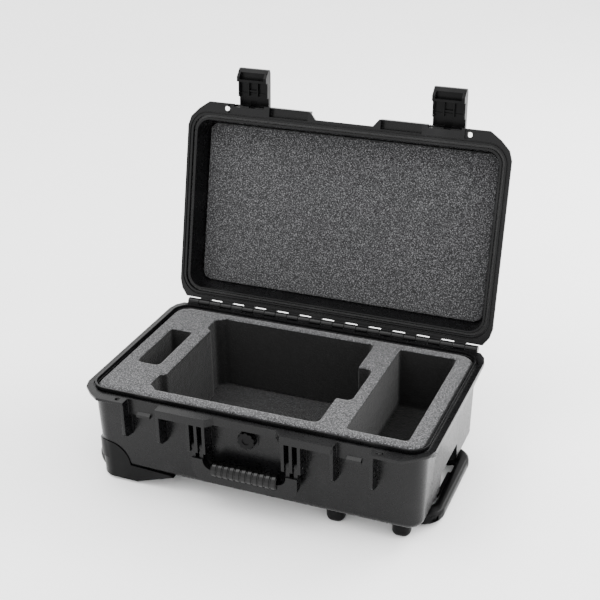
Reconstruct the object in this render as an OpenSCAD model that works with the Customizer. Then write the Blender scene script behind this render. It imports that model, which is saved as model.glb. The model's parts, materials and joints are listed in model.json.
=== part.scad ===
// Wheeled hard carrying case with foam bays, shown open.
// X runs along the length (+X is the trolley handle end), -Y is the front with the
// latches, +Z is up. The origin is the middle of the flat panel under the base tub.
// Lid pieces are drawn closed and then swung open about the hinge line.

/* [Tub and lid] */
// Length of the opening inside the tub
inner_len = 521; // [440:1:630]
// Width of the opening inside the tub, front to back
inner_wid = 293; // [250:1:355]
// Depth of the tub, underside to parting plane
base_depth = 134; // [112:1:162]
// Height of the lid over the parting plane
lid_depth = 58; // [50:1:72]
// Wall thickness of both shells
wall_t = 4; // [3.2:0.1:5]
// How far the tub walls lean in towards the underside
base_draft = 4; // [2:0.5:6]
// How far the lid walls lean in towards the top
lid_draft = 8; // [5:0.5:10]
// Outer corner radius of the tub seen from above
corner_r = 28; // [24:1:34]
// Rounding between the tub walls and the underside
base_edge_r = 10; // [7:0.5:12]
// Rounding between the lid walls and the top
lid_edge_r = 14; // [10:0.5:16]
// Angle the lid stands open at
lid_open = 103.4; // [90:0.1:110]

/* [Rim] */
// Overhang of the rim beyond the end walls
rim_side = 11; // [9:0.5:14]
// Overhang of the rim beyond the front wall
rim_front = 23; // [21:0.5:28]
// Overhang of the rim beyond the rear wall
rim_rear = 12.5; // [11:0.5:15]
// Thickness of the rim plate
rim_t = 4.5; // [3.8:0.1:5.4]
// Height of the front skirt under the rim
skirt_h = 13; // [11:0.5:16]
// Set-back of the rim over the carry handle
rim_recess = 12; // [10:0.5:14]
// Gap between the closed rims
rim_gap = 0.3; // [0.3:0.05:0.5]
// Thickness of the sealing tongue on the tub
tongue_t = 3; // [2.4:0.1:3]
// Height of the sealing tongue
tongue_h = 5; // [4:0.1:6]
// Side clearance of the tongue in its groove
tongue_clear = 0.6; // [0.4:0.1:0.8]
// Height of the gasket
gasket_h = 3.2; // [2.6:0.1:4]
// Padlock hole radius
hasp_r = 4; // [3.2:0.1:4.6]
// Padlock hole, distance in from the rim end
hasp_in = 69.3; // [60:0.1:75]
// Padlock hole, distance in from the front rim edge
hasp_edge = 9; // [8:0.5:11]

/* [Hinge] */
// Hinge line, distance behind the rear rim edge
hinge_gap = 8; // [7.6:0.1:10]
// Knuckle radius
knuckle_r = 6.5; // [5.5:0.1:6.8]
// Length of one knuckle
knuckle_len = 20; // [16:0.5:20]
// Distance between knuckles of the same shell
knuckle_pitch = 41; // [41:0.5:48]
// Hinge rod radius
rod_r = 2; // [1.6:0.1:2.4]
// Running clearance round rods and pins
run_clear = 0.05; // [0.03:0.01:0.08]

/* [Latches] */
// Latch centre, distance in from the rim end
latch_in = 109.25; // [100:0.25:115]
// Latch width over its cap
latch_w = 52.5; // [44:0.5:54]
// Side clearance between latch and ribs
latch_clear = 0.5; // [0.4:0.1:0.8]
// Latch length beyond its pivot
latch_len = 66; // [62:1:74]
// Pivot height over the parting plane
latch_pivot_z = 17.5; // [16.5:0.5:22]
// Pivot pin radius
latch_pin_r = 2; // [1.6:0.1:2.4]
// Length of the thick head at the end of the latch
cap_h = 20.5; // [18:0.5:21]
// Angle the latches stand out at when open
latch_open = 80; // [70:1:90]
// Press travel of the latch button
press_travel = 3; // [2:0.5:3.5]
// Thickness of latch and handle ribs
rib_t = 5; // [4:0.5:5.5]
// Rib height below the parting plane
rib_h = 62; // [56:1:66]

/* [Carry handle] */
// Middle of each handle arm from the centre of the case
arm_x = 75; // [66:1:80]
// Width of each handle arm
arm_w = 18; // [16:0.5:18.5]
// Pivot height below the parting plane
handle_drop = 53; // [50:0.5:56]
// Reach from the pivot to the outer edge of the handle
handle_reach = 55; // [46:1:62]
// Handle bar height
handle_bar = 22; // [18:0.5:24]
// Grip radius
grip_r = 12; // [10:0.5:12.5]
// Grip length
grip_len = 104; // [86:1:106]
// Number of ribs on the grip
grip_ribs = 11; // [9:1:13]

/* [Wheels and feet] */
// Gap between the underside and the floor
floor_gap = 26; // [24:1:30]
// Wheel radius
wheel_r = 30; // [27:0.5:31]
// Wheel width
wheel_w = 24; // [20:1:26]
// Radius of the wheel well
well_r = 39; // [38:0.5:43]
// Width of the wheel housing
housing_w = 50; // [46:1:54]
// Axle radius
axle_r = 4; // [3:0.25:5]
// Length of a foot
foot_len = 28; // [22:1:32]
// Width of a foot
foot_wid = 24; // [20:1:28]

/* [Trolley] */
// Distance of each tube from the middle
tube_y = 80; // [72:1:82]
// Outer tube radius
tube_r = 9; // [8:0.25:9.5]
// Tube wall
tube_wall = 0.95; // [0.8:0.05:1.1]
// Travel of each of the two stages
stage_travel = 207; // [160:1:240]
// Half width of the trolley grip
trolley_half = 100; // [96:1:106]
// Thickness of the trolley grip, front to back of the bar
trolley_bar = 17.5; // [16.5:0.5:20]
// Height of the trolley grip
trolley_h = 18; // [16:0.5:18]
// Travel of the release trigger
trigger_travel = 4; // [3:0.5:5]

/* [Foam] */
// Clearance between foam and shell
foam_clear = 0.3; // [0.2:0.05:0.5]
// Thickness of the pad under the foam block
pad_t = 6; // [4:0.5:10]
// Foam surface below the top of the tongue
foam_drop = 2.4; // [1:0.2:5]
// Face of the lid foam above the parting plane
lid_foam_z = 36; // [28:1:40]
// Foam left between each end bay and the end wall
bay_end = 27; // [20:1:34]
// Length of the battery slot
slot_len = 36.5; // [30:0.5:44]
// Width of the battery slot
slot_wid = 116; // [90:1:130]
// Depth of the battery slot
slot_depth = 62; // [50:1:74]
// Length of the tall end bay
tall_len = 92; // [76:1:110]
// Width of the end bay and the middle bay
bay_wid = 248; // [205:1:250]
// Depth of the tall end bay
tall_depth = 100; // [82:1:104]
// Foam wall between the slot and the middle bay
slot_divider = 18; // [14:1:24]
// Foam wall between the middle bay and the end bay
tall_divider = 44; // [36:1:52]
// Depth of the side pocket of the middle bay
pocket_len = 24; // [18:1:28]
// Width of the side pocket of the middle bay
pocket_wid = 96; // [80:1:112]

/* [Hidden] */
$fn = 48;
eps = 0.01;
part_z = base_depth;
floor_z = -floor_gap;
inner_x = inner_len / 2;
inner_y = inner_wid / 2;
body_x = inner_x + wall_t;
body_y = inner_y + wall_t;
rim_x = body_x + rim_side;
front_y = -(body_y + rim_front);
rear_y = body_y + rim_rear;
hinge_y = rear_y + hinge_gap;
lid_z = part_z + rim_gap;
hasp_x = rim_x - hasp_in;
hasp_y = front_y + hasp_edge;
latch_x = rim_x - latch_in;
latch_gap = latch_w / 2 + latch_clear;
under_z = 1;
latch_y = front_y + 7.5;
latch_z = part_z + latch_pivot_z;
latch_face = front_y + 2.5;
latch_t = 9;
catch_y = front_y + 15.5;
catch_bar = 5;
catch_h = 26;
catch_half = 11.5;
lug_half = 5;
bead_out = 6.2;
bead_wid = 2.2;
bead_depth = 2.5;
rim_groove = 2.4;
foam_inset = 2.2;
wall_front = -(body_y - base_draft);
rib_y = front_y + 1.5;
tine = rib_t + 1.1;
rib_slot = tine + 1.5;
handle_y = front_y + 11.5;
handle_z = part_z - handle_drop;
handle_front = front_y + 2.5;
handle_back = handle_front + 13;
handle_low = handle_z - handle_reach;
mid_half = arm_x - arm_w - 2;
valve_z = part_z - 31;
valve_r = 14;
valve_seat = -(body_y + 1);
valve_hole = 8;
well_x = -(body_x - 21.5);
well_z = 4;
wheel_x = -(body_x - 27);
wheel_z = floor_z + wheel_r;
well_y = body_y - housing_w;
wheel_y = body_y - 31.5;
housing_low = floor_z + 4;
seam_z = 6;
ramp_start = well_x + 48;
ramp_end = well_x + 113;
foot_y = 121;
foot_x = [body_x - 139.5, body_x - 38];
bracket_x = [-(body_x - 54), 0, body_x - 54];
tube_z = floor_z / 2;
tube_end = body_x - 42.5;
tube_tail = -(body_x - 42.5);
mid_r = tube_r - tube_wall - run_clear;
inner_r = mid_r - tube_wall - run_clear;
arm_start = tube_end + 7;
bar_outer = body_x + 10;
bar_inner = bar_outer - trolley_bar;
link_x = bar_inner + 2.5;
link_t = 5;
screw_x = [well_x + 58, well_x + 84];
recess_x = body_x - 29.5;
recess_half = 45;
recess_top = part_z - 97;
foam_top = part_z + tongue_h - foam_drop;
pad_z = wall_t + foam_clear;
foam_z = pad_z + pad_t;
foam_x = inner_x - foam_clear;
slot_x0 = -(foam_x - bay_end);
mid_x0 = slot_x0 + slot_len + slot_divider;
tall_x1 = foam_x - bay_end;
mid_x1 = tall_x1 - tall_len - tall_divider;
lid_top = part_z + lid_depth;
lid_x = inner_x - 2.5;
lid_y = inner_y - 2.5;
black = [0.10, 0.10, 0.11];
charcoal = [0.22, 0.22, 0.23];

// ---- outlines -------------------------------------------------------------

// Rounded rectangle with half sizes hx, hy and corner radius r
module rounded(hx, hy, r) {
    square([2 * (hx - r), 2 * hy], center = true);
    square([2 * hx, 2 * (hy - r)], center = true);
    for (sx = [-1, 1], sy = [-1, 1])
        translate([sx * (hx - r), sy * (hy - r)]) circle(r);
}

// Rounded ring between two outlines offset by t
module ring(hx, hy, r, t) {
    difference() {
        rounded(hx, hy, r);
        rounded(hx - t, hy - t, r - t);
    }
}

// Outline of both rims; notch is how far the latch notches are cut back
module rim_outline(notch) {
    points = [
        [mid_half - 6, front_y + rim_recess], [mid_half + 4, front_y],
        [latch_x - latch_gap, front_y], [latch_x - latch_gap, front_y + notch],
        [latch_x + latch_gap, front_y + notch], [latch_x + latch_gap, front_y],
        [rim_x - 37.5, front_y], [rim_x - 19.5, front_y + 12.5],
        [rim_x - 5, front_y + 27], [rim_x, front_y + 42],
        [rim_x, rear_y - 28], [rim_x - 4, rear_y - 13], [rim_x - 13.5, rear_y]
    ];
    last = len(points) - 1;
    polygon(concat(points, [for (i = [0 : last]) [-points[last - i][0], points[last - i][1]]]));
}

// Thin slab used as one level of a leaning tub
module slab(hx, hy, r, z) {
    translate([0, 0, z]) linear_extrude(eps) rounded(hx, hy, r, $fn = 64);
}

// Leaning tub with a rounded lower edge, open side at z_top
module tub(hx, hy, r, z_top, z_low, lean, edge) {
    hull() {
        slab(hx, hy, r, z_top - eps);
        for (a = [0 : 22.5 : 90]) {
            inset = lean + edge * (1 - cos(a));
            slab(hx - inset, hy - inset, max(r - inset, 3), z_low + edge * (1 - sin(a)));
        }
    }
}

// The same for the lid, closed side up
module dome(hx, hy, r, z_low, z_high, lean, edge) {
    translate([0, 0, z_low + z_high]) mirror([0, 0, 1])
        tub(hx, hy, r, z_high, z_low, lean, edge);
}

// Plate of thickness t along X, drawn from a YZ profile, centred on x
module plate_x(x, t) {
    translate([x - t / 2, 0, 0]) rotate([90, 0, 90]) linear_extrude(t) children();
}

// Plate between y0 and y1, drawn from an XZ profile
module plate_y(y0, y1) {
    translate([0, y1, 0]) rotate([90, 0, 0]) linear_extrude(y1 - y0) children();
}

// Box between two corners
module block(a, b) {
    translate(a) cube(b - a);
}

// Rod along X from x0 to x1
module rod_x(x0, x1, y, z, r) {
    translate([x0, y, z]) rotate([0, 90, 0]) cylinder(h = x1 - x0, r = r);
}

// Rod along Y from y0 to y1
module rod_y(x, y0, y1, z, r) {
    translate([x, y0, z]) rotate([-90, 0, 0]) cylinder(h = y1 - y0, r = r);
}

// Both sides of the case, left and right
module both_x() {
    children();
    mirror([1, 0, 0]) children();
}

// Both sides of the case, front and rear
module both_y() {
    children();
    mirror([0, 1, 0]) children();
}

// Swings closed-lid pieces to the open position
module opened() {
    translate([0, hinge_y, part_z]) rotate([-lid_open, 0, 0])
        translate([0, -hinge_y, -part_z]) children();
}

// Swings a closed latch out to its open position
module latch_out() {
    translate([0, latch_y, latch_z]) rotate([-latch_open, 0, 0])
        translate([0, -latch_y, -latch_z]) children();
}

// ---- tub ------------------------------------------------------------------

// Wheel well in the front corner, grown by g
module well(g) {
    rod_y(well_x, -body_y - 30, -well_y + g, well_z, well_r + 0.4 + g);
    block([well_x - well_r - g, -body_y - 30, floor_z],
        [well_x + well_r + 0.4 + g, -well_y + g, well_z]);
}

// Hand recess in the lower edge of the trolley end, grown by g
module hand_recess(g) {
    translate([recess_x - g, 0, 0]) rotate([90, 0, 90]) linear_extrude(60)
        polygon([[-recess_half - 5 - g, -5], [recess_half + 5 + g, -5],
            [recess_half - 3 + g, recess_top + g], [-recess_half + 3 - g, recess_top + g]]);
}

// Hollow of the tub, shrunk by g, above z_low
module base_hollow(g, z_low) {
    difference() {
        tub(inner_x - g, inner_y - g, corner_r - wall_t - g, part_z + tongue_h + 2, z_low,
            base_draft, base_edge_r - wall_t);
        both_y() well(wall_t + g);
        hand_recess(wall_t + g);
    }
}

// Rim flare from the rim plate down to the end and rear walls
module rim_flare() {
    hull() {
        translate([0, 0, part_z - rim_t - 1]) linear_extrude(1)
            polygon([[rim_x, front_y + 45], [rim_x, rear_y - 28], [rim_x - 4, rear_y - 13],
                [rim_x - 13.5, rear_y], [-rim_x + 13.5, rear_y], [-rim_x + 4, rear_y - 13],
                [-rim_x, rear_y - 28], [-rim_x, front_y + 45]]);
        translate([0, 22, part_z - 42])
            linear_extrude(1) rounded(body_x - 1.5, body_y - 23.5, corner_r, $fn = 32);
    }
}

module latch_rib(x) {
    plate_x(x, rib_t)
        polygon([[wall_front, part_z], [rib_y, part_z], [rib_y, part_z - rib_h + 6],
            [rib_y + 6, part_z - rib_h], [wall_front, part_z - rib_h - 4]]);
}

module handle_rib(x) {
    plate_x(x, rib_t)
        polygon([[wall_front, part_z - 8], [rib_y, part_z - 8], [rib_y, part_z - rib_h + 2],
            [wall_front, part_z - rib_h - 6]]);
}

// Latch keeper between two ribs
module keeper() {
    block([latch_x - latch_gap, catch_y, part_z - catch_h], [latch_x + latch_gap, wall_front, part_z]);
    plate_x(latch_x, 2 * catch_half)
        polygon([[catch_y + 1, part_z - catch_h], [catch_y - catch_bar, part_z - catch_h],
            [catch_y - catch_bar, part_z - catch_h + 4], [catch_y + 1, part_z - catch_h + 8]]);
}

module front_skirts() {
    both_x() block([mid_half + 4, front_y, part_z - skirt_h],
        [latch_x - latch_gap - rib_t / 2, wall_front, part_z]);
    skirt_base = part_z - skirt_h;
    translate([0, 0, skirt_base]) linear_extrude(skirt_h)
        polygon([[mid_half + 4, front_y], [mid_half + 4, wall_front], [-mid_half - 4, wall_front],
            [-mid_half - 4, front_y], [-mid_half + 6, front_y + rim_recess],
            [mid_half - 6, front_y + rim_recess]]);
}

module base_knuckles() {
    for (k = [-6 : 6]) {
        x0 = k * knuckle_pitch - knuckle_len / 2;
        rod_x(x0, x0 + knuckle_len, hinge_y, part_z, knuckle_r);
        block([x0, body_y - 1, part_z - knuckle_r], [x0 + knuckle_len, hinge_y, part_z]);
    }
}

module base_shell() {
    color(charcoal) difference() {
        union() {
            tub(body_x, body_y, corner_r, part_z, under_z, base_draft, base_edge_r);
            linear_extrude(under_z + 1) rounded(120, 46, 8);
            translate([0, 0, part_z - rim_t]) linear_extrude(rim_t)
                rim_outline(catch_y - front_y);
            translate([0, 0, part_z - 1]) linear_extrude(tongue_h + 1)
                ring(body_x, body_y, corner_r, tongue_t);
            rim_flare();
            front_skirts();
            both_x() {
                latch_rib(latch_x - latch_gap - rib_t / 2);
                latch_rib(latch_x + latch_gap + rib_t / 2);
                keeper();
                for (k = [-1 : 1]) handle_rib(arm_x + k * (rib_slot + rib_t));
            }
            rod_y(0, valve_seat, -body_y + base_draft, valve_z, valve_r + 3);
            base_knuckles();
        }
        base_hollow(0, wall_t);
        translate([0, 0, part_z - rim_groove]) linear_extrude(rim_groove + 1)
            ring(body_x + rim_groove, body_y + rim_groove, corner_r + rim_groove, rim_groove);
        both_y() well(0);
        hand_recess(0);
        both_x() translate([hasp_x, hasp_y, part_z - rim_t - 1]) cylinder(h = rim_t + 2, r = hasp_r);
        both_x() rod_x(arm_x - rib_slot - 2 * rib_t, arm_x + rib_slot + 2 * rib_t, handle_y,
            handle_z, rod_r + run_clear);
        rod_x(-6 * knuckle_pitch - 7, 6 * knuckle_pitch + 7, hinge_y, part_z, rod_r + run_clear);
        rod_y(0, -body_y - 5, -inner_y + 10, valve_z, valve_hole + run_clear);
        both_y() for (x = screw_x) translate([x, -body_y + 22, -1]) cylinder(h = 4.2, r = 2);
        both_y() for (x = foot_x) translate([x, -foot_y, -1]) cylinder(h = 4.2, r = 2);
        both_y() for (x = bracket_x) translate([x, -tube_y + 20, -1]) cylinder(h = 4.2, r = 2);
    }
}

module hinge_rod() {
    color("silver")
        rod_x(-6 * knuckle_pitch - 6.5, 6 * knuckle_pitch + 6.5, hinge_y, part_z, rod_r);
}

// ---- foam -----------------------------------------------------------------

// Middle bay: rounded, with a shallow pocket towards the end bay
module middle_bay() {
    mid_c = (mid_x0 + 8.5 + mid_x1) / 2;
    mid_h = (mid_x1 - mid_x0 - 8.5) / 2;
    translate([mid_c, 2, 0]) rounded(mid_h, bay_wid / 2, 9);
    translate([mid_x1, 0, 0]) rounded(pocket_len, pocket_wid / 2, 7);
    for (s = [-1, 1])
        translate([mid_x0 + 15, 2 + s * (bay_wid / 2 - 26), 0]) rounded(15, 19, 9);
}

module base_foam() {
    color([0.45, 0.45, 0.47]) difference() {
        intersection() {
            base_hollow(foam_clear, foam_z - 3);
            block([-body_x, -body_y, foam_z], [body_x, body_y, foam_top]);
        }
        translate([0, 0, part_z - 1]) linear_extrude(10) difference() {
            square([2 * body_x, 2 * body_y], center = true);
            rounded(lid_x - foam_inset, lid_y - foam_inset, corner_r - wall_t - 2);
        }
        translate([0, 0, foam_z - 1]) linear_extrude(part_z + 20) middle_bay();
        translate([slot_x0 + slot_len / 2, 5, foam_top - slot_depth]) linear_extrude(slot_depth + 5)
            rounded(slot_len / 2, slot_wid / 2, 2);
        translate([tall_x1 - tall_len / 2, 1, foam_top - tall_depth])
            linear_extrude(tall_depth + 5) rounded(tall_len / 2, bay_wid / 2, 2);
        rod_y(0, -body_y, -inner_y + 9, valve_z, valve_r + 1);
    }
}

module base_foam_pad() {
    color([0.35, 0.35, 0.37]) intersection() {
        base_hollow(foam_clear, pad_z);
        block([-body_x, -body_y, pad_z - 1], [body_x, body_y, foam_z - foam_clear]);
    }
}

module lid_foam() {
    color([0.28, 0.28, 0.30]) opened() intersection() {
        dome(lid_x - foam_clear, lid_y - foam_clear, corner_r - wall_t - 1, part_z,
            lid_top - wall_t - foam_clear, lid_draft, lid_edge_r - wall_t);
        block([-body_x, -body_y, part_z + lid_foam_z], [body_x, body_y, lid_top]);
    }
}

// ---- pressure valve -------------------------------------------------------

module valve_body() {
    color(charcoal) {
        rod_y(0, valve_seat - 0.1, -inner_y + 5, valve_z, valve_hole);
        difference() {
            rod_y(0, valve_seat - 8, valve_seat - 0.1, valve_z, valve_r);
            for (i = [0 : 9]) translate([0, 0, valve_z]) rotate([0, i * 36 + 18, 0])
                rod_y(0, valve_seat - 9, valve_seat - 2, valve_r + 0.6, 2.4);
            rod_y(0, valve_seat - 9, valve_seat - 6.5, valve_z, 6);
        }
    }
}

module valve_nut() {
    color(black) difference() {
        translate([0, -inner_y + 1.5, valve_z]) rotate([-90, 0, 0]) cylinder(h = 3.2, r = 12, $fn = 6);
        rod_y(0, -inner_y, -inner_y + 6, valve_z, valve_hole + run_clear);
    }
}

// ---- carry handle ---------------------------------------------------------

module handle_pins() {
    color("silver") both_x() rod_x(arm_x - rib_slot - 1.5 * rib_t + 0.3,
        arm_x + rib_slot + 1.5 * rib_t - 0.3, handle_y, handle_z, rod_r);
}

// Tine of the forked arm, centred on x
module handle_tine(x) {
    plate_x(x, tine) {
        translate([handle_y, handle_z]) circle(7);
        translate([handle_y - 6.5, handle_z - 18]) square([12, 18]);
    }
}

module handle_frame() {
    arm_in = arm_x - arm_w / 2;
    arm_out = arm_x + arm_w / 2;
    inside_low = handle_low + handle_bar;
    color(charcoal) difference() {
        union() {
            plate_y(handle_front, handle_back) difference() {
                translate([0, handle_low + 100]) rounded(arm_out, 100, 22);
                translate([0, inside_low + 100]) rounded(arm_in, 100, 14);
                translate([-arm_out - 5, handle_z - 17]) square([2 * arm_out + 10, 300]);
            }
            both_x() for (s = [-1, 1]) handle_tine(arm_x + s * (rib_t + rib_slot) / 2);
        }
        both_x() rod_x(arm_in - 5, arm_out + 5, handle_y, handle_z, rod_r + run_clear);
    }
}

module handle_grip() {
    bar_top = handle_low + handle_bar;
    mid_y = (handle_front + handle_back) / 2;
    pitch = grip_len / grip_ribs;
    color(black) difference() {
        union() {
            rod_x(-grip_len / 2, grip_len / 2, mid_y, bar_top, grip_r - 1);
            for (i = [0 : grip_ribs - 1])
                rod_x(-grip_len / 2 + i * pitch + 1.2, -grip_len / 2 + (i + 1) * pitch - 1.2,
                    mid_y, bar_top, grip_r);
        }
        block([-grip_len, handle_front - 0.05, handle_low - 5],
            [grip_len, handle_back + 0.05, bar_top + 0.05]);
    }
}

// ---- wheels ---------------------------------------------------------------

// Housing of the front wheel, wheel cavity open below and to the end
module wheel_housing() {
    edge_x = -body_x - 4;
    cavity = wheel_w / 2 + 4;
    difference() {
        intersection() {
            plate_y(-body_y - 2, -well_y - 0.6) {
                translate([well_x, well_z]) circle(well_r);
                polygon([[edge_x, well_z + 12], [edge_x, housing_low + 12],
                    [edge_x + 3, housing_low + 4], [edge_x + 12, housing_low],
                    [ramp_start, housing_low], [ramp_end, under_z - 0.1],
                    [well_x, under_z - 0.1], [well_x, well_z + 12]]);
                polygon([[well_x, under_z - 0.2], [well_x, seam_z], [well_x + well_r + 4, seam_z],
                    [ramp_end - 8, seam_z / 2], [ramp_end, under_z - 0.2]]);
            }
            union() {
                hull() {
                    slab(body_x - 2, body_y - base_draft + 0.8, corner_r, housing_low);
                    slab(body_x - 2, body_y + 0.8, corner_r, part_z);
                }
                translate([0, 0, 11]) linear_extrude(well_r)
                    rounded(body_x + 2, body_y - 3, corner_r);
            }
        }
        difference() {
            tub(body_x + 0.1, body_y + 0.1, corner_r, part_z, under_z - 0.1, base_draft, base_edge_r);
            well(-0.4);
        }
        rod_y(wheel_x, -wheel_y - cavity, -wheel_y + cavity, wheel_z, wheel_r + 3);
        block([-rim_x - 5, -wheel_y - cavity, floor_z - 1],
            [wheel_x, -wheel_y + cavity, wheel_z + 12]);
        block([wheel_x - 1, -wheel_y - cavity, floor_z - 1],
            [wheel_x + wheel_r + 3, -wheel_y + cavity, wheel_z]);
        rod_y(wheel_x, -wheel_y - cavity - 5, -well_y + 5, wheel_z, axle_r + run_clear);
        for (x = screw_x) translate([x, -body_y + 22, floor_z]) {
            cylinder(h = floor_gap + 3, r = 2.6);
            cylinder(h = floor_gap - 6, r = 4.8);
        }
    }
}

module wheel_housing_front() {
    color(black) wheel_housing();
}

module wheel_housing_rear() {
    color(black) mirror([0, 1, 0]) wheel_housing();
}

module wheel_axle() {
    rod_y(wheel_x, -wheel_y - wheel_w / 2 - 8.5, -well_y - 1, wheel_z, axle_r);
}

module wheel_axle_front() {
    color("silver") wheel_axle();
}

module wheel_axle_rear() {
    color("silver") mirror([0, 1, 0]) wheel_axle();
}

module wheel_tyre() {
    difference() {
        translate([wheel_x, -wheel_y, wheel_z]) rotate([90, 0, 0]) rotate_extrude() union() {
            translate([wheel_r - 7, -wheel_w / 2]) square([5, wheel_w]);
            translate([wheel_r - 5, -wheel_w / 2 + 2]) square([5, wheel_w - 4]);
            for (s = [-1, 1]) translate([wheel_r - 2, s * (wheel_w / 2 - 2)]) circle(2);
        }
        rod_y(wheel_x, -wheel_y - wheel_w, -wheel_y + wheel_w, wheel_z, wheel_r - 7);
    }
}

module wheel_hub() {
    difference() {
        union() {
            rod_y(wheel_x, -wheel_y - wheel_w / 2 + 1, -wheel_y + wheel_w / 2 - 1, wheel_z,
                wheel_r - 7.05);
            rod_y(wheel_x, -wheel_y - wheel_w / 2 - 1, -wheel_y + wheel_w / 2 + 1, wheel_z,
                axle_r + 5);
        }
        rod_y(wheel_x, -wheel_y - wheel_w, -wheel_y + wheel_w, wheel_z, axle_r + 0.5);
        for (s = [-1, 1]) rod_y(wheel_x, -wheel_y + s * (wheel_w / 2 - 1.5) - 3.5,
            -wheel_y + s * (wheel_w / 2 - 1.5) + 3.5, wheel_z, axle_r + 3.05);
        for (i = [0 : 5]) translate([wheel_x, 0, wheel_z]) rotate([0, i * 60, 0])
            rod_y(0, -wheel_y - wheel_w, -wheel_y + wheel_w, wheel_r / 2 + 1, 3);
    }
}

module wheel_bearings() {
    for (s = [-1, 1]) difference() {
        rod_y(wheel_x, -wheel_y + s * (wheel_w / 2 - 1.5) - 2.5,
            -wheel_y + s * (wheel_w / 2 - 1.5) + 2.5, wheel_z, axle_r + 3);
        rod_y(wheel_x, -wheel_y - wheel_w, -wheel_y + wheel_w, wheel_z, axle_r + run_clear);
    }
}

module wheel_tyre_front() {
    color([0.15, 0.15, 0.15]) wheel_tyre();
}

module wheel_hub_front() {
    color([0.3, 0.3, 0.32]) wheel_hub();
}

module wheel_bearings_front() {
    color("silver") wheel_bearings();
}

module wheel_tyre_rear() {
    color([0.15, 0.15, 0.15]) mirror([0, 1, 0]) wheel_tyre();
}

module wheel_hub_rear() {
    color([0.3, 0.3, 0.32]) mirror([0, 1, 0]) wheel_hub();
}

module wheel_bearings_rear() {
    color("silver") mirror([0, 1, 0]) wheel_bearings();
}

// Cap screw pointing up, head seat at z_head, tip at z_tip
module cap_screw(z_head, z_tip, r, head_r) {
    translate([0, 0, z_head]) cylinder(h = z_tip - z_head, r = r);
    translate([0, 0, z_head - 2.5]) difference() {
        cylinder(h = 2.5, r = head_r);
        translate([0, 0, -1]) cylinder(h = 2.4, r = 1.5, $fn = 6);
    }
}

module housing_screws() {
    color("silver") both_y() for (x = screw_x)
        translate([x, -body_y + 22, 0]) cap_screw(-6, 3, 1.95, 4.2);
}

// ---- feet -----------------------------------------------------------------

module feet() {
    round_r = 9;
    color(black) both_y() for (x = foot_x) translate([x, -foot_y, 0]) difference() {
        hull() {
            for (a = [0 : 15 : 90]) {
                inset = round_r * (1 - sin(a));
                translate([0, 0, floor_z + round_r * (1 - cos(a))]) linear_extrude(eps)
                    rounded(foot_len / 2 - inset, foot_wid / 2 - inset, 10.5 - inset, $fn = 32);
            }
            translate([0, 0, under_z - 0.1 - eps]) linear_extrude(eps)
                rounded(foot_len / 2, foot_wid / 2, 10.5, $fn = 32);
        }
        translate([0, 0, floor_z - 1]) cylinder(h = floor_gap + 3, r = 2.3);
        translate([0, 0, floor_z - 1]) cylinder(h = floor_gap - 5, r = 4.6);
    }
}

module foot_screws() {
    color("silver") both_y() for (x = foot_x) translate([x, -foot_y, 0])
        cap_screw(-6, 3, 1.95, 4.2);
}

// ---- trolley --------------------------------------------------------------

// Tube along X on both sides of the case
module tube_pair(x0, x1, r, t) {
    both_y() difference() {
        rod_x(x0, x1, -tube_y, tube_z, r);
        rod_x(x0 - 1, x1 + 1, -tube_y, tube_z, r - t);
    }
}

module trolley_outer_tubes() {
    color("dimgray") tube_pair(tube_tail, tube_end, tube_r, tube_wall);
}

module trolley_brackets() {
    color(black) both_y() for (x = bracket_x) difference() {
        union() {
            block([x - 11, -tube_y - 11, tube_z], [x + 11, -tube_y + 11, under_z - 0.1]);
            rod_x(x - 11, x + 11, -tube_y, tube_z, tube_r + 2);
            block([x - 11, -tube_y, -5], [x + 11, -tube_y + 27, under_z - 0.1]);
        }
        rod_x(x - 12, x + 12, -tube_y, tube_z, tube_r + run_clear);
        translate([x, -tube_y + 20, -6]) cylinder(h = 8, r = 2.3);
    }
}

module bracket_screws() {
    color("silver") both_y() for (x = bracket_x) translate([x, -tube_y + 20, 0])
        cap_screw(-5, 3, 1.95, 4.2);
}

module outer_tube_collars() {
    color(black) tube_pair(tube_end + 0.1, tube_end + 3, tube_r + 1.5, tube_wall + 1.5);
}

module trolley_mid_tubes() {
    color("gray") tube_pair(tube_tail + 4, tube_end + 4, mid_r, tube_wall);
}

module mid_tube_collars() {
    color(black) tube_pair(tube_end + 4.1, tube_end + 6.4, mid_r + 0.8, tube_wall + 0.8);
}

module trolley_inner_tubes() {
    color("silver") tube_pair(tube_tail + 8, arm_start + 17, inner_r, tube_wall);
}

module trolley_grip() {
    arm_in = tube_y - 14;
    corner = 34;
    low = tube_z - trolley_h / 2;
    color(black) difference() {
        translate([0, 0, low]) linear_extrude(trolley_h) difference() {
            translate([bar_outer - 100, 0]) rounded(100, trolley_half, corner);
            translate([arm_start - 300, -200]) square([300, 400]);
            translate([bar_inner - 100, 0]) rounded(100, arm_in, 9);
        }
        both_y() rod_x(arm_start - 1, arm_start + 17.5, -tube_y, tube_z, inner_r + run_clear);
        both_y() rod_x(arm_start, link_x + 1, -tube_y, tube_z, 3.2);
        block([link_x - 0.3, -tube_y - 3, tube_z - 4.8],
            [link_x + link_t + 0.3 + trigger_travel, tube_y + 3, tube_z + 4.8]);
        block([bar_inner - 1, -30.4, tube_z - 4.8], [link_x, 30.4, tube_z + 4.8]);
        both_y() translate([bar_outer - corner, -trolley_half + corner, tube_z])
            rotate([0, 0, -40]) translate([corner - 2.2, 0, 0])
            rotate([90, 0, 90]) linear_extrude(10) rounded(10, 5.5, 5.4);
    }
}

module trolley_trigger() {
    color(black) block([bar_inner - trigger_travel - 1, -30, tube_z - 4.4],
        [link_x - 0.05, 30, tube_z + 4.4]);
}

module release_rods() {
    color("silver") {
        block([link_x, -tube_y - 2.5, tube_z - 4.4], [link_x + link_t, tube_y + 2.5, tube_z + 4.4]);
        both_y() rod_x(tube_tail + 14, link_x + 1, -tube_y, tube_z, 2.5);
    }
}

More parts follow.
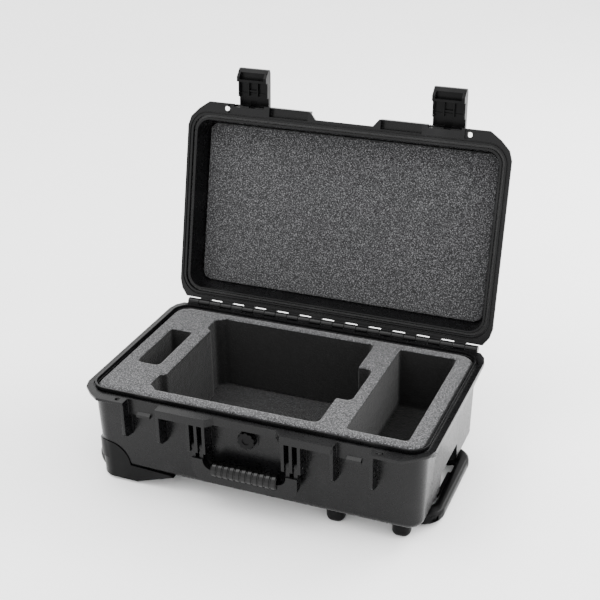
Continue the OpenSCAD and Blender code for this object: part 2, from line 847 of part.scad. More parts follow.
// ---- lid ------------------------------------------------------------------

module lid_knuckles() {
    for (k = [-6 : 5]) {
        x0 = (k + 0.5) * knuckle_pitch - knuckle_len / 2 + 0.2;
        rod_x(x0, x0 + knuckle_len - 0.4, hinge_y, part_z, knuckle_r);
        block([x0, body_y - 1, lid_z], [x0 + knuckle_len - 0.4, hinge_y, part_z + knuckle_r]);
    }
}

module latch_lug(x) {
    plate_x(x, rib_t)
        polygon([[-lid_y + 4, lid_z], [rib_y, lid_z], [rib_y, latch_z + 2], [rib_y + 5, latch_z + 7],
            [-lid_y + 4, latch_z + 12]]);
}

// Lug between the two knuckles of a latch
module centre_lug() {
    plate_x(latch_x, 2 * lug_half) {
        translate([latch_y, latch_z]) circle(4.5);
        polygon([[-lid_y + 4, lid_z], [latch_y + 2, lid_z], [latch_y - 4.5, latch_z],
            [latch_y, latch_z + 4.5], [-lid_y + 4, latch_z + 9]]);
    }
}

// Pocket in the front flange of the lid, between two places along X
module lid_pocket(x0, x1, depth) {
    block([x0, front_y + 1.8, lid_z - 1], [x1, -body_y - bead_out - 1.5, lid_z + depth]);
}

module lid_closed() {
    groove_in = tongue_t + tongue_clear;
    difference() {
        union() {
            dome(lid_x + wall_t, lid_y + wall_t, corner_r - 1, lid_z, lid_top, lid_draft, lid_edge_r);
            translate([0, 0, lid_z]) linear_extrude(rim_t) rim_outline(4.5);
            translate([0, 0, lid_z]) linear_extrude(14)
                rounded(body_x + 5, body_y + 5, corner_r + 5);
            both_x() block([mid_half + 4, front_y, lid_z],
                [latch_x - latch_gap - rib_t / 2, -lid_y, lid_z + skirt_h]);
            both_x() {
                latch_lug(latch_x - latch_gap - rib_t / 2);
                latch_lug(latch_x + latch_gap + rib_t / 2);
                centre_lug();
            }
            for (s = [-1, 1]) translate([0, s * 78, lid_top - 1]) linear_extrude(4.5)
                rounded(lid_x - 60, 22, 12);
            lid_knuckles();
        }
        dome(lid_x, lid_y, corner_r - wall_t - 1, lid_z - 4, lid_top - wall_t, lid_draft,
            lid_edge_r - wall_t);
        translate([0, 0, lid_z - 1]) linear_extrude(tongue_h + gasket_h + 1)
            ring(body_x + tongue_clear, body_y + tongue_clear, corner_r + tongue_clear,
                tongue_t + 2 * tongue_clear);
        translate([0, 0, lid_z - 1]) linear_extrude(bead_depth + 1)
            ring(body_x + bead_out, body_y + bead_out, corner_r + bead_out, bead_wid);
        both_x() {
            lid_pocket(mid_half + 7, latch_x - latch_gap - 2 * rib_t, skirt_h - 3);
            lid_pocket(latch_x + latch_gap + 2 * rib_t, hasp_x - hasp_r - 4, rim_t - 1.2);
        }
        both_x() translate([hasp_x, hasp_y, lid_z - 1]) cylinder(h = rim_t + 2, r = hasp_r);
        both_x() rod_x(latch_x - latch_gap - 2 * rib_t, latch_x + latch_gap + 2 * rib_t, latch_y,
            latch_z, latch_pin_r + run_clear);
        rod_x(-6 * knuckle_pitch, 6 * knuckle_pitch, hinge_y, part_z, rod_r + run_clear);
    }
}

module lid_shell() {
    color(charcoal) opened() lid_closed();
}

module lid_gasket() {
    color(black) opened() translate([0, 0, lid_z + tongue_h]) linear_extrude(gasket_h - 0.05)
        ring(body_x + tongue_clear - 0.05, body_y + tongue_clear - 0.05,
            corner_r + tongue_clear - 0.05, tongue_t + 2 * tongue_clear - 0.1);
}

// ---- latches --------------------------------------------------------------

module latch_pins() {
    color("silver") opened() both_x()
        rod_x(latch_x - latch_gap - rib_t + 0.3, latch_x + latch_gap + rib_t - 0.3, latch_y,
            latch_z, latch_pin_r);
}

// One latch in its closed place on the right of the case
module latch_closed() {
    half = latch_w / 2;
    low = latch_z - latch_len;
    head = low + cap_h;
    back = latch_face - latch_t;
    grip_y = latch_y + 6;
    difference() {
        union() {
            plate_x(latch_x, latch_w) {
                translate([latch_y, latch_z]) circle(5.5);
                polygon([[latch_y, latch_z + 5.5], [back + 4, latch_z + 5.5], [back, latch_z + 1],
                    [back, low + 6], [back + 3, low], [latch_face, low], [grip_y, low + 12],
                    [grip_y, head], [latch_face, head], [latch_face, latch_z - 5.5],
                    [latch_y, latch_z - 5.5]]);
            }
            for (s = [-1, 1]) {
                block([latch_x + s * (half - 1.5) - 1.5, latch_face - 1, low + 4],
                    [latch_x + s * (half - 1.5) + 1.5, latch_face + 5, part_z - 2]);
                block([latch_x + s * 8 - 1.2, latch_face - 1, head - 1],
                    [latch_x + s * 8 + 1.2, latch_face + 4.5, part_z - 4]);
            }
            block([latch_x - 8, latch_face - 1, head + 14], [latch_x + 8, latch_face + 3, head + 16.5]);
            block([latch_x - half + 1, latch_face - 1, head + 19],
                [latch_x + half - 1, latch_face + 1.6, head + 20.5]);
        }
        rod_x(latch_x - latch_w, latch_x + latch_w, latch_y, latch_z, latch_pin_r + run_clear);
        block([latch_x - lug_half - 0.4, latch_face - 1, latch_z - 12],
            [latch_x + lug_half + 0.4, latch_y + 9, latch_z + 9]);
        block([latch_x - half + 8, back - 4, low + 4.6], [latch_x + half - 8, latch_face - 2.5, head + 4]);
        block([latch_x - half + 5, latch_face + 2.5, low + 5.5],
            [latch_x + half - 5, grip_y + 1, head - 4]);
    }
}

// Press button in the end of the latch
module button_closed() {
    half = latch_w / 2 - 8.4;
    low = latch_z - latch_len + 5;
    high = latch_z - latch_len + cap_h + 3.6;
    face = latch_face - latch_t - press_travel - 0.5;
    difference() {
        block([latch_x - half, face, low], [latch_x + half, latch_face - 2.6 - press_travel, high]);
        for (i = [-2 : 2])
            rod_x(latch_x - half - 1, latch_x + half + 1, face - 0.6, (low + high) / 2 + i * 3.2, 1.2);
    }
}

module latch_right() {
    color(black) opened() latch_out() latch_closed();
}

module latch_left() {
    color(black) mirror([1, 0, 0]) opened() latch_out() latch_closed();
}

module latch_button_right() {
    color(black) opened() latch_out() button_closed();
}

module latch_button_left() {
    color(black) mirror([1, 0, 0]) opened() latch_out() button_closed();
}

base_shell();
hinge_rod();
base_foam();
base_foam_pad();
valve_body();
valve_nut();
handle_pins();
handle_frame();
handle_grip();
wheel_housing_front();
wheel_housing_rear();
wheel_axle_front();
wheel_axle_rear();
housing_screws();
wheel_tyre_front();
wheel_hub_front();
wheel_bearings_front();
wheel_tyre_rear();
wheel_hub_rear();
wheel_bearings_rear();
feet();
foot_screws();
trolley_outer_tubes();
trolley_brackets();
bracket_screws();
outer_tube_collars();
trolley_mid_tubes();
mid_tube_collars();
trolley_inner_tubes();
trolley_grip();
trolley_trigger();
release_rods();
lid_shell();
lid_gasket();
lid_foam();
latch_pins();
latch_left();
latch_button_left();
latch_right();
latch_button_right();
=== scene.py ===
"""Looks of an open wheeled carrying case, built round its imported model."""

import json
import logging
import math
from dataclasses import dataclass
from enum import Enum

import bpy
from mathutils import Matrix, Vector
from mathutils.bvhtree import BVHTree


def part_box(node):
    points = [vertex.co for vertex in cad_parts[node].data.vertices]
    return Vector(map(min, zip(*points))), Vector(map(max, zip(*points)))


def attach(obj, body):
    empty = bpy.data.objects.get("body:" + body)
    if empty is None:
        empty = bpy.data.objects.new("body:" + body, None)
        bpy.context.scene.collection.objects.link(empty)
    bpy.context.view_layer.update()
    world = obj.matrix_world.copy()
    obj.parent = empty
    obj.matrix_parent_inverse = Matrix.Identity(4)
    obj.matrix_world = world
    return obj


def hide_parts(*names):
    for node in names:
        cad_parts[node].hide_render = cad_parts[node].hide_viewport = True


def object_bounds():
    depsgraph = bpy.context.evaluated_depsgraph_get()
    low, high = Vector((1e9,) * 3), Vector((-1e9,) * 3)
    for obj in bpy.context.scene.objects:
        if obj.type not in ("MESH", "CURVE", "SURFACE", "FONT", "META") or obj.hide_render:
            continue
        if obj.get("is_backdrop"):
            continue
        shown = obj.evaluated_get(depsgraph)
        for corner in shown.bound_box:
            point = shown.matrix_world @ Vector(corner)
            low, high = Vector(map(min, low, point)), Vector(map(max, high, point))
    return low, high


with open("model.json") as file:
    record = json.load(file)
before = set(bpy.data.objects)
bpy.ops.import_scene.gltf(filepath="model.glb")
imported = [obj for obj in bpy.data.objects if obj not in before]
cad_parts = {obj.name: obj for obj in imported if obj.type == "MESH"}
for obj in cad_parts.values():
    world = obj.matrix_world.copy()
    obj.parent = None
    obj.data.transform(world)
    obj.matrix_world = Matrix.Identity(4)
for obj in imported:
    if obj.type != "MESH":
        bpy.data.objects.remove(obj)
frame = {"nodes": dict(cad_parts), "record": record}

MM = 0.001
# Angle between the open lid and its closed place, in radians.
LID_OPEN = math.radians(103.4)
# Vertices closer than this are merged.
WELD = 0.002 * MM
# Faces that differ by less than this angle are one flat face.
FLAT = math.radians(0.8)
# Edges sharper than this angle are rounded.
SHARP = math.radians(32.0)
# Edges shallower than this angle are shaded smooth.
SMOOTH = math.radians(28.0)
# A rounded edge leaves the old surface by no more than this share of its width.
STRAY = 0.6
# Area weight of the shading of flat faces.
FACE_WEIGHT = 80
LOG = logging.getLogger("carrying_case")
Point = tuple[float, float, float]
Colour = tuple[float, float, float]


# ---- materials ---------------------------------------------------------------


class Graph:
    """Small helper that builds one node material."""

    def __init__(self, name: str) -> None:
        """Start an empty node material.

        Args:
            name: Name of the material.
        """
        self.material = bpy.data.materials.new(name)
        self.material.use_nodes = True
        self.tree = self.material.node_tree
        self.tree.nodes.clear()
        self.shader = self.node("ShaderNodeBsdfPrincipled")
        output = self.node("ShaderNodeOutputMaterial")
        self.link(self.shader.outputs[0], output.inputs["Surface"])
        self.place = self.node("ShaderNodeTexCoord").outputs["Object"]

    def node(self, kind: str, **values: object) -> bpy.types.Node:
        """Add a node and set its sockets or properties by name.

        Args:
            kind: Blender's name of the node type.
            **values: Socket values (spaces written as underscores) or properties.

        Returns:
            The new node.
        """
        node = self.tree.nodes.new(kind)
        for key, value in values.items():
            socket = node.inputs.get(key.replace("_", " "))
            if socket is not None:
                socket.default_value = value
            else:
                setattr(node, key, value)
        return node

    def link(self, source: bpy.types.NodeSocket, target: bpy.types.NodeSocket) -> None:
        """Join two sockets.

        Args:
            source: Output that gives the value.
            target: Input that takes it.
        """
        self.tree.links.new(source, target)

    def feed(self, name: str, value: float | bpy.types.NodeSocket) -> None:
        """Give one input of the shader a number or a socket.

        Args:
            name: Name of the input.
            value: The number, or the output that drives the input.
        """
        if isinstance(value, bpy.types.NodeSocket):
            self.link(value, self.shader.inputs[name])
        else:
            self.shader.inputs[name].default_value = value

    def noise(self, size: float, detail: float = 3.0) -> bpy.types.NodeSocket:
        """Add noise with features of about one size.

        Args:
            size: Feature size in metres.
            detail: Octaves of detail.

        Returns:
            The noise value.
        """
        node = self.node("ShaderNodeTexNoise", Scale=1.0 / size, Detail=detail)
        self.link(self.place, node.inputs["Vector"])
        return node.outputs[0]

    def cells(self, size: float) -> bpy.types.NodeSocket:
        """Add a cell pattern.

        Args:
            size: Cell size in metres.

        Returns:
            Distance to the nearest cell centre.
        """
        node = self.node("ShaderNodeTexVoronoi", Scale=1.0 / size)
        self.link(self.place, node.inputs["Vector"])
        return node.outputs["Distance"]

    def ramp(self, value: bpy.types.NodeSocket,
             stops: list[tuple[float, Colour]]) -> bpy.types.NodeSocket:
        """Turn a value into a colour.

        Args:
            value: Driving value from 0 to 1.
            stops: Positions and their colours.

        Returns:
            The colour.
        """
        node = self.node("ShaderNodeValToRGB")
        elements = node.color_ramp.elements
        while len(elements) < len(stops):
            elements.new(0.5)
        for element, (position, colour) in zip(elements, stops):
            element.position = position
            element.color = (*colour, 1.0)
        self.link(value, node.inputs[0])
        return node.outputs[0]

    def span(self, value: bpy.types.NodeSocket, low: float, high: float,
             start: float = 0.3, end: float = 0.7) -> bpy.types.NodeSocket:
        """Map a value into a new range.

        Args:
            value: Incoming value.
            low: Result at start.
            high: Result at end.
            start: Incoming value that gives low.
            end: Incoming value that gives high.

        Returns:
            The mapped value.
        """
        node = self.node("ShaderNodeMapRange")
        for socket, number in zip(node.inputs[1:5], (start, end, low, high)):
            socket.default_value = number
        self.link(value, node.inputs[0])
        return node.outputs[0]

    def bump(self, layers: list[tuple[bpy.types.NodeSocket, float]]) -> None:
        """Stack bump layers on the shader's normal.

        Args:
            layers: Height values and their depth in metres.
        """
        normal = None
        for height, depth in layers:
            node = self.node("ShaderNodeBump", Strength=1.0, Distance=depth)
            self.link(height, node.inputs["Height"])
            if normal is not None:
                self.link(normal, node.inputs["Normal"])
            normal = node.outputs[0]
        self.link(normal, self.shader.inputs["Normal"])


@dataclass(frozen=True)
class Moulded:
    """Grained moulded plastic or rubber."""

    name: str
    colour: Colour
    roughness: float = 0.42
    grain: float = 0.8 * MM
    depth: float = 0.018 * MM
    worn: float = 1.5
    worn_lift: float = 0.004
    shade: float = 0.86
    specular: float = 0.5
    cloud_size: float = 55 * MM
    scuff_size: float = 6 * MM
    smoother: float = 0.03
    rougher: float = 0.04

    def build(self) -> bpy.types.Material:
        """Return the finished material."""
        graph = Graph(self.name)
        grain = graph.cells(self.grain)
        cloud = graph.noise(self.cloud_size, detail=4.0)
        scuff = graph.noise(self.scuff_size, detail=6.0)
        worn = tuple(min(channel * self.worn + self.worn_lift, 1.0) for channel in self.colour)
        dark = tuple(channel * self.shade for channel in self.colour)
        stops = [(0.25, dark), (0.55, self.colour), (0.85, worn)]
        graph.feed("Base Color", graph.ramp(cloud, stops))
        low, high = self.roughness - self.smoother, self.roughness + self.rougher
        graph.feed("Roughness", graph.span(scuff, low, high))
        graph.feed("Specular IOR Level", self.specular)
        graph.bump([(grain, self.depth)])
        return graph.material


@dataclass(frozen=True)
class Foam:
    """Open cell foam with light and dark specks."""

    name: str
    dark: Colour
    middle: Colour
    light: Colour
    cell: float = 2.1 * MM
    depth: float = 0.6 * MM
    speck: float = 0.9
    roughness: float = 0.95
    specular: float = 0.15
    sheen: float = 0.15

    def build(self) -> bpy.types.Material:
        """Return the finished material."""
        graph = Graph(self.name)
        cells = graph.cells(self.cell)
        fine = graph.noise(self.speck * self.cell, detail=2.0)
        both = graph.node("ShaderNodeMath", operation="ADD")
        pores = graph.span(cells, low=0.5, high=0.0, start=0.05, end=0.75)
        specks = graph.span(fine, low=0.0, high=0.5, start=0.32, end=0.68)
        graph.link(pores, both.inputs[0])
        graph.link(specks, both.inputs[1])
        stops = [(0.18, self.dark), (0.5, self.middle), (0.82, self.light)]
        graph.feed("Base Color", graph.ramp(both.outputs[0], stops))
        graph.feed("Roughness", self.roughness)
        graph.feed("Specular IOR Level", self.specular)
        graph.feed("Sheen Weight", self.sheen)
        graph.bump([(both.outputs[0], self.depth)])
        return graph.material


@dataclass(frozen=True)
class Metal:
    """Turned, drawn or anodised metal with fine lines along X."""

    name: str
    colour: Colour
    roughness: float = 0.28
    metallic: float = 1.0
    line_scale: Point = (12.0, 900.0, 900.0)
    line_depth: float = 0.01 * MM
    shade: float = 0.75
    smoother: float = 0.06
    rougher: float = 0.1

    def build(self) -> bpy.types.Material:
        """Return the finished material."""
        graph = Graph(self.name)
        mapping = graph.node("ShaderNodeMapping", Scale=self.line_scale)
        graph.link(graph.place, mapping.inputs["Vector"])
        lines = graph.node("ShaderNodeTexNoise", Scale=1.0, Detail=2.0)
        graph.link(mapping.outputs[0], lines.inputs["Vector"])
        dull = tuple(channel * self.shade for channel in self.colour)
        graph.feed("Base Color", graph.ramp(lines.outputs[0], [(0.3, dull), (0.7, self.colour)]))
        low, high = self.roughness - self.smoother, self.roughness + self.rougher
        graph.feed("Roughness", graph.span(lines.outputs[0], low, high))
        graph.feed("Metallic", self.metallic)
        graph.bump([(lines.outputs[0], self.line_depth)])
        return graph.material


class Finish(Enum):
    """The finishes of this case."""

    SHELL = Moulded("shell_plastic", (0.0018, 0.0018, 0.002), roughness=0.28, specular=0.165)
    TRIM = Moulded("trim_plastic", (0.0009, 0.0009, 0.001), roughness=0.33, specular=0.085)
    RUBBER = Moulded("grip_rubber", (0.0015, 0.0015, 0.0015), roughness=0.2, grain=0.5 * MM,
                     specular=0.2)
    SEAL = Moulded("seal_rubber", (0.004, 0.004, 0.004), roughness=0.55)
    TYRE = Moulded("wheel_tread", (0.008, 0.008, 0.008), roughness=0.55, grain=1.5 * MM,
                   depth=0.05 * MM)
    HUB = Moulded("wheel_hub", (0.012, 0.012, 0.013), roughness=0.4)
    FOAM = Foam("base_foam_skin", dark=(0.0121, 0.0121, 0.0127), middle=(0.0505, 0.0505, 0.0523),
                light=(0.1638, 0.1638, 0.1696))
    # Painted shade: the cut walls of the base foam are much darker than its skin, partly the cut
    # foam's own duller tone and partly painted shade for the deep bays.
    CUT = Foam("base_foam_cut_painted_shade", dark=(0.0002, 0.0002, 0.0002), middle=(0.0009, 0.0009, 0.0009),
               light=(0.005, 0.005, 0.0051))
    PAD = Foam("pad_cells", dark=(0.002, 0.002, 0.0021), middle=(0.0092, 0.0092, 0.0095),
               light=(0.0438, 0.0438, 0.0455))
    LINER = Foam("lid_foam_cells", dark=(0.0094, 0.0094, 0.0098), middle=(0.0344, 0.0344, 0.0359),
                 light=(0.1314, 0.1314, 0.1348))
    # Painted shade: the cut faces of the lid foam are darker than its liner face, partly their own
    # tone and partly painted shade.
    LINER_CUT = Foam("lid_foam_cut_painted_shade", dark=(0.0023, 0.0023, 0.0024),
                     middle=(0.0076, 0.0076, 0.008), light=(0.0228, 0.0228, 0.0236))
    STEEL = Metal("plain_steel", (0.55, 0.55, 0.56))
    BLACK_TUBE = Metal("black_anodised", (0.03, 0.03, 0.032), roughness=0.35, metallic=0.6)
    SILVER_TUBE = Metal("silver_anodised", (0.62, 0.62, 0.64), roughness=0.3)


class Palette:
    """Builds each finish once and hands it out."""

    def __init__(self) -> None:
        """Start with no materials."""
        self.made: dict[Finish, bpy.types.Material] = {}

    def built(self, finish: Finish) -> bpy.types.Material:
        """Build a finish the first time it is asked for.

        Args:
            finish: The finish.

        Returns:
            Its material.
        """
        if finish not in self.made:
            self.made[finish] = finish.value.build()
        return self.made[finish]

    def dress(self, thing: bpy.types.Object, finish: Finish) -> None:
        """Give an object one finish.

        Args:
            thing: Mesh object.
            finish: The finish it gets.
        """
        thing.data.materials.clear()
        thing.data.materials.append(self.built(finish))

    def add(self, thing: bpy.types.Object, finish: Finish) -> int:
        """Add a second finish to an object.

        Args:
            thing: Mesh object.
            finish: The finish it also gets.

        Returns:
            Index of the added finish.
        """
        thing.data.materials.append(self.built(finish))
        return len(thing.data.materials) - 1


# ---- modelling helpers ---------------------------------------------------------


def only(thing: bpy.types.Object) -> None:
    """Select one object and make it active.

    Args:
        thing: The object.
    """
    bpy.ops.object.select_all(action="DESELECT")
    thing.select_set(True)
    bpy.context.view_layer.objects.active = thing


def modify(thing: bpy.types.Object, kind: str, **settings: object) -> None:
    """Add a modifier and apply it at once.

    Args:
        thing: Mesh object.
        kind: Blender's modifier type.
        **settings: Properties of the modifier.
    """
    only(thing)
    bpy.ops.object.modifier_add(type=kind)
    modifier = thing.modifiers[-1]
    for key, value in settings.items():
        setattr(modifier, key, value)
    bpy.ops.object.modifier_apply(modifier=modifier.name)


def merged_copy(node: str, name: str) -> bpy.types.Object:
    """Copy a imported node's mesh as one clean closed mesh.

    Args:
        node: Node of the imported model.
        name: Name of the new piece.

    Returns:
        The copy, at the origin.
    """
    source = frame["nodes"][node]
    copy = bpy.data.objects.new(name, source.data.copy())
    copy.matrix_world = source.matrix_world.copy()
    bpy.context.scene.collection.objects.link(copy)
    only(copy)
    bpy.ops.object.transform_apply(location=True, rotation=True, scale=True)
    bpy.ops.object.mode_set(mode="EDIT")
    bpy.ops.mesh.select_all(action="SELECT")
    bpy.ops.mesh.remove_doubles(threshold=WELD)
    bpy.ops.object.mode_set(mode="OBJECT")
    return copy


def softened(node: str, width: float, segments: int = 2) -> bpy.types.Object:
    """Copy a node with its edges rounded a little.

    Args:
        node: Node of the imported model.
        width: Edge width in metres.
        segments: Faces across each edge.

    Returns:
        The copy, smooth shaded, standing for the node.
    """
    copy = merged_copy(node, node + "_moulded")
    bpy.ops.object.mode_set(mode="EDIT")
    bpy.ops.mesh.select_all(action="SELECT")
    bpy.ops.mesh.dissolve_limited(angle_limit=FLAT)
    bpy.ops.mesh.select_all(action="SELECT")
    bpy.ops.mesh.quads_convert_to_tris(quad_method="BEAUTY", ngon_method="BEAUTY")
    bpy.ops.object.mode_set(mode="OBJECT")
    skin = BVHTree.FromPolygons([vertex.co.copy() for vertex in copy.data.vertices],
                                [tuple(face.vertices) for face in copy.data.polygons])
    modify(copy, "BEVEL", width=width, segments=segments, limit_method="ANGLE",
           angle_limit=SHARP, use_clamp_overlap=False, miter_outer="MITER_ARC")
    for vertex in copy.data.vertices:
        nearest, _, _, distance = skin.find_nearest(vertex.co)
        if distance > STRAY * width:
            vertex.co = nearest
    only(copy)
    bpy.ops.object.shade_smooth_by_angle(angle=SMOOTH)
    modify(copy, "WEIGHTED_NORMAL", keep_sharp=True, weight=FACE_WEIGHT)
    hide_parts(node)
    return copy


BODY_OF: dict[str, str] = {
    node: body for body, nodes in frame["record"]["behaviour"]["bodies"].items() for node in nodes
}


def seat(piece: bpy.types.Object, node: str) -> None:
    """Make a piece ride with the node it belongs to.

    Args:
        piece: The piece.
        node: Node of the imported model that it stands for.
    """
    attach(piece, BODY_OF[node])


# ---- studio ----------------------------------------------------------------------


@dataclass(frozen=True)
class Lamp:
    """One square area light.

    Sizes and places are in metres, and power is in watts.
    """

    name: str
    place: Point
    target: Point
    size: float
    watts: float

    def build(self) -> None:
        """Hang the light so that it faces its target."""
        data = bpy.data.lights.new(self.name, "AREA")
        data.size = self.size
        data.energy = self.watts
        light = bpy.data.objects.new(self.name, data)
        way = Vector(self.target) - Vector(self.place)
        turn = way.to_track_quat("-Z", "Y").to_matrix().to_4x4()
        light.matrix_world = Matrix.Translation(self.place) @ turn
        bpy.context.scene.collection.objects.link(light)


LAMPS = (
    Lamp("key", (-0.9, -0.6, 2.6), (0.0, 0.0, 0.1), 1.6, 40.0),
    Lamp("back", (1.3, 1.6, 1.5), (0.9, 1.0, 0.0), 1.2, 60.0),
    Lamp("side", (2.4, 0.3, 1.2), (0.2, 0.0, 0.1), 1.2, 30.0),
)


@dataclass
class Studio:
    """Pale floor, soft lights and the camera.

    Angles are in degrees, lens and sensor in millimetres, and the rest in metres.
    """

    camera_place: Point = (0.63984, -1.48269, 1.05095)
    azimuth: float = 22.6
    elevation: float = 26.18
    roll: float = -1.02
    lens: float = 72.1
    sensor: float = 36.0
    floor_drop: float = 0.0005
    floor_size: float = 30.0
    floor_greys: tuple[float, float] = (0.96, 0.98)
    floor_cloud: float = 0.4
    floor_roughness: float = 0.9
    room_light: float = 2.8

    def add_camera(self) -> None:
        """Place the camera by its azimuth, elevation and roll."""
        degrees = (self.azimuth, self.elevation, self.roll)
        azimuth, elevation, roll = (math.radians(angle) for angle in degrees)
        back = Vector((math.sin(azimuth) * math.cos(elevation),
                       -math.cos(azimuth) * math.cos(elevation), math.sin(elevation)))
        right = Vector((math.cos(azimuth), math.sin(azimuth), 0.0))
        up = back.cross(right)
        turned_right = math.cos(roll) * right + math.sin(roll) * up
        turned_up = -math.sin(roll) * right + math.cos(roll) * up
        data = bpy.data.cameras.new("camera")
        data.lens = self.lens
        data.sensor_width = self.sensor
        camera = bpy.data.objects.new("camera", data)
        columns = Matrix((turned_right, turned_up, back)).transposed().to_4x4()
        camera.matrix_world = Matrix.Translation(self.camera_place) @ columns
        bpy.context.scene.collection.objects.link(camera)
        bpy.context.scene.camera = camera

    def add_floor(self) -> None:
        """Lay the floor under the feet."""
        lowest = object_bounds()[0][2]
        bpy.ops.mesh.primitive_plane_add(size=self.floor_size,
                                         location=(0.0, 0.0, lowest - self.floor_drop))
        floor = bpy.context.object
        floor.name = "floor"
        bpy.ops.object.transform_apply(location=True)
        graph = Graph("floor_paper")
        dull, bright = ((grey, grey, grey) for grey in self.floor_greys)
        paper = graph.ramp(graph.noise(self.floor_cloud), [(0.3, dull), (0.7, bright)])
        graph.feed("Base Color", paper)
        graph.feed("Roughness", self.floor_roughness)
        floor.data.materials.append(graph.material)
        floor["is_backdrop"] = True

    def add_sky(self) -> None:
        """Fill the room with even white light."""
        world = bpy.data.worlds.new("studio")
        bpy.context.scene.world = world
        world.use_nodes = True
        background = world.node_tree.nodes["Background"]
        background.inputs[0].default_value = (1.0, 1.0, 1.0, 1.0)
        background.inputs[1].default_value = self.room_light

    def build(self) -> None:
        """Set up everything that isn't the object."""
        self.add_camera()
        self.add_floor()
        self.add_sky()
        for lamp in LAMPS:
            lamp.build()


# ---- sub-assemblies ------------------------------------------------------------------


@dataclass
class Shells:
    """The two moulded shells and every other hard moulding."""

    palette: Palette
    edge: float = 0.6 * MM
    small_edge: float = 0.35 * MM

    def build(self) -> None:
        """Round the edges of the mouldings and dress them."""
        for node in ("base_shell", "lid_shell"):
            piece = softened(node, self.edge)
            self.palette.dress(piece, Finish.SHELL)
            seat(piece, node)
        trims = ["handle_frame", "wheel_housing_front", "wheel_housing_rear", "feet", "valve_body",
                 "valve_nut", "trolley_trigger", "trolley_brackets", "outer_tube_collars",
                 "mid_tube_collars"]
        for side in ("left", "right"):
            trims += [f"latch_{side}", f"latch_button_{side}"]
        for node in trims:
            piece = softened(node, self.small_edge)
            finish = Finish.SHELL if node == "handle_frame" else Finish.TRIM
            self.palette.dress(piece, finish)
            seat(piece, node)


@dataclass
class Grips:
    """Trolley grip with a rounded bar, and the ribbed hand grip."""

    palette: Palette
    bar_round: float = 5.5 * MM
    bar_steps: int = 4
    bar_flat: float = math.radians(0.5)
    bar_smooth: float = math.radians(32.0)
    arm_start: float = 1.0 * MM
    level_slack: float = 0.01 * MM
    rib_round: float = 0.9 * MM
    rib_steps: int = 3

    def trolley_bar(self) -> None:
        """Round the long edges of the trolley grip's bar."""
        piece = merged_copy("trolley_grip", "trolley_grip_moulded")
        only(piece)
        low, high = (corner[2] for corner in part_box("trolley_grip"))
        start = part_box("trolley_grip")[0][0] + self.arm_start
        bpy.ops.object.mode_set(mode="EDIT")
        bpy.ops.mesh.select_all(action="SELECT")
        bpy.ops.mesh.dissolve_limited(angle_limit=self.bar_flat)
        bpy.ops.mesh.select_all(action="DESELECT")
        bpy.ops.object.mode_set(mode="OBJECT")
        mesh = piece.data
        for edge in mesh.edges:
            ends = [mesh.vertices[index].co for index in edge.vertices]
            level = any(all(abs(end.z - height) < self.level_slack for end in ends)
                        for height in (low, high))
            edge.select = level and all(end.x > start for end in ends)
        bpy.ops.object.mode_set(mode="EDIT")
        bpy.ops.mesh.select_mode(type="EDGE")
        bpy.ops.mesh.bevel(offset=self.bar_round, segments=self.bar_steps, affect="EDGES")
        bpy.ops.object.mode_set(mode="OBJECT")
        bpy.ops.object.shade_smooth_by_angle(angle=self.bar_smooth)
        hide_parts("trolley_grip")
        self.palette.dress(piece, Finish.TRIM)
        seat(piece, "trolley_grip")

    def hand_grip(self) -> None:
        """Soften the ribs of the hand grip."""
        piece = softened("handle_grip", self.rib_round, segments=self.rib_steps)
        self.palette.dress(piece, Finish.RUBBER)
        seat(piece, "handle_grip")

    def build(self) -> None:
        """Make both grips."""
        self.trolley_bar()
        self.hand_grip()


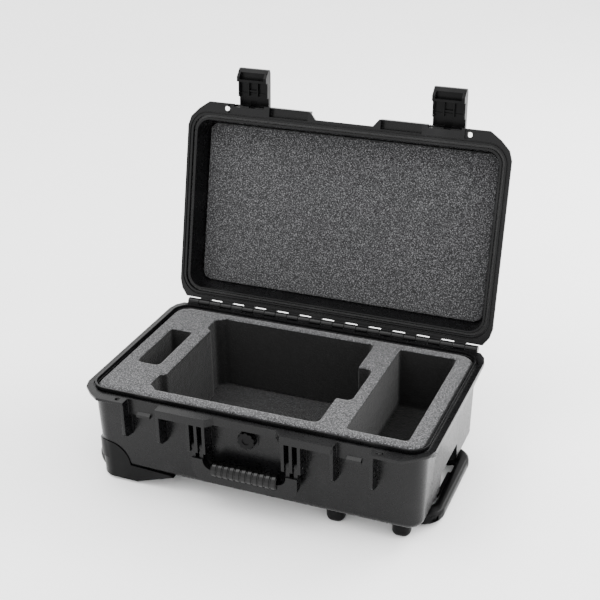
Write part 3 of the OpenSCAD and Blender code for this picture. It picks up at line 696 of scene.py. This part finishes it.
@dataclass
class FoamSet:
    """Foam block, pad and lid liner, soft at every cut edge."""

    palette: Palette
    voxel: float = 3.0 * MM
    lump: float = 7.0 * MM
    lump_depth: float = 0.7 * MM
    lump_middle: float = 0.8
    skin_slope: float = 0.75
    skin_depth: float = 3.0 * MM

    def soft_copy(self, node: str) -> bpy.types.Object:
        """Copy a foam node as one even skin with a slightly lumpy surface.

        Args:
            node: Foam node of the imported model.

        Returns:
            The soft copy.
        """
        piece = merged_copy(node, node + "_soft")
        piece.data.materials.clear()
        modify(piece, "REMESH", mode="VOXEL", voxel_size=self.voxel)
        modify(piece, "SMOOTH", factor=0.5, iterations=2)
        texture = bpy.data.textures.new(node + "_lumps", "CLOUDS")
        texture.noise_scale = self.lump
        modify(piece, "DISPLACE", texture=texture, strength=self.lump_depth,
               mid_level=self.lump_middle)
        bpy.data.textures.remove(texture)
        only(piece)
        bpy.ops.object.shade_smooth()
        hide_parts(node)
        seat(piece, node)
        return piece

    def dress_skin_and_painted_shade(self, piece: bpy.types.Object, facing: Point, skin: Finish,
                 cut: Finish) -> None:
        """Dress the outer skin, and the cut faces in a darker finish that is partly their own tone
        and partly painted shade.

        Args:
            piece: Foam piece.
            facing: Way the outer skin faces.
            skin: Finish of the outer skin.
            cut: Finish of all other faces, darkened with painted shade.
        """
        self.palette.dress(piece, skin)
        index = self.palette.add(piece, cut)
        way = Vector(facing).normalized()
        highest = max(vertex.co.dot(way) for vertex in piece.data.vertices)
        # Faces off the outer skin take the darker finish, which paints in the shade of the bays
        # and walls.
        for face in piece.data.polygons:
            outward = face.normal.dot(way) > self.skin_slope
            on_skin = outward and face.center.dot(way) > highest - self.skin_depth
            face.material_index = 0 if on_skin else index

    def build(self) -> None:
        """Cut and dress the three foams."""
        self.dress_skin_and_painted_shade(self.soft_copy("base_foam"), (0.0, 0.0, 1.0), Finish.FOAM, Finish.CUT)
        self.palette.dress(self.soft_copy("base_foam_pad"), Finish.PAD)
        lid_face = (0.0, -math.sin(LID_OPEN), -math.cos(LID_OPEN))
        self.dress_skin_and_painted_shade(self.soft_copy("lid_foam"), lid_face, Finish.LINER, Finish.LINER_CUT)


@dataclass
class Plain:
    """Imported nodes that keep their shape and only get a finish."""

    palette: Palette

    def build(self) -> None:
        """Dress the remaining nodes."""
        finishes = {
            Finish.STEEL: ["hinge_rod", "handle_pins", "wheel_axle_front", "wheel_axle_rear",
                           "housing_screws", "wheel_bearings_front", "wheel_bearings_rear",
                           "foot_screws", "bracket_screws", "release_rods", "latch_pins"],
            Finish.BLACK_TUBE: ["trolley_outer_tubes", "trolley_mid_tubes"],
            Finish.SILVER_TUBE: ["trolley_inner_tubes"],
            Finish.TYRE: ["wheel_tyre_front", "wheel_tyre_rear"],
            Finish.HUB: ["wheel_hub_front", "wheel_hub_rear"],
            Finish.SEAL: ["lid_gasket"],
        }
        for finish, nodes in finishes.items():
            for node in nodes:
                self.palette.dress(frame["nodes"][node], finish)


def main() -> None:
    """Build and dress the case."""
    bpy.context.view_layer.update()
    palette = Palette()
    Studio().build()
    for part in (Shells(palette), Grips(palette), FoamSet(palette), Plain(palette)):
        part.build()
        LOG.info("%s done", type(part).__name__)


if __name__ == "__main__":
    logging.basicConfig(level=logging.INFO)
    main()
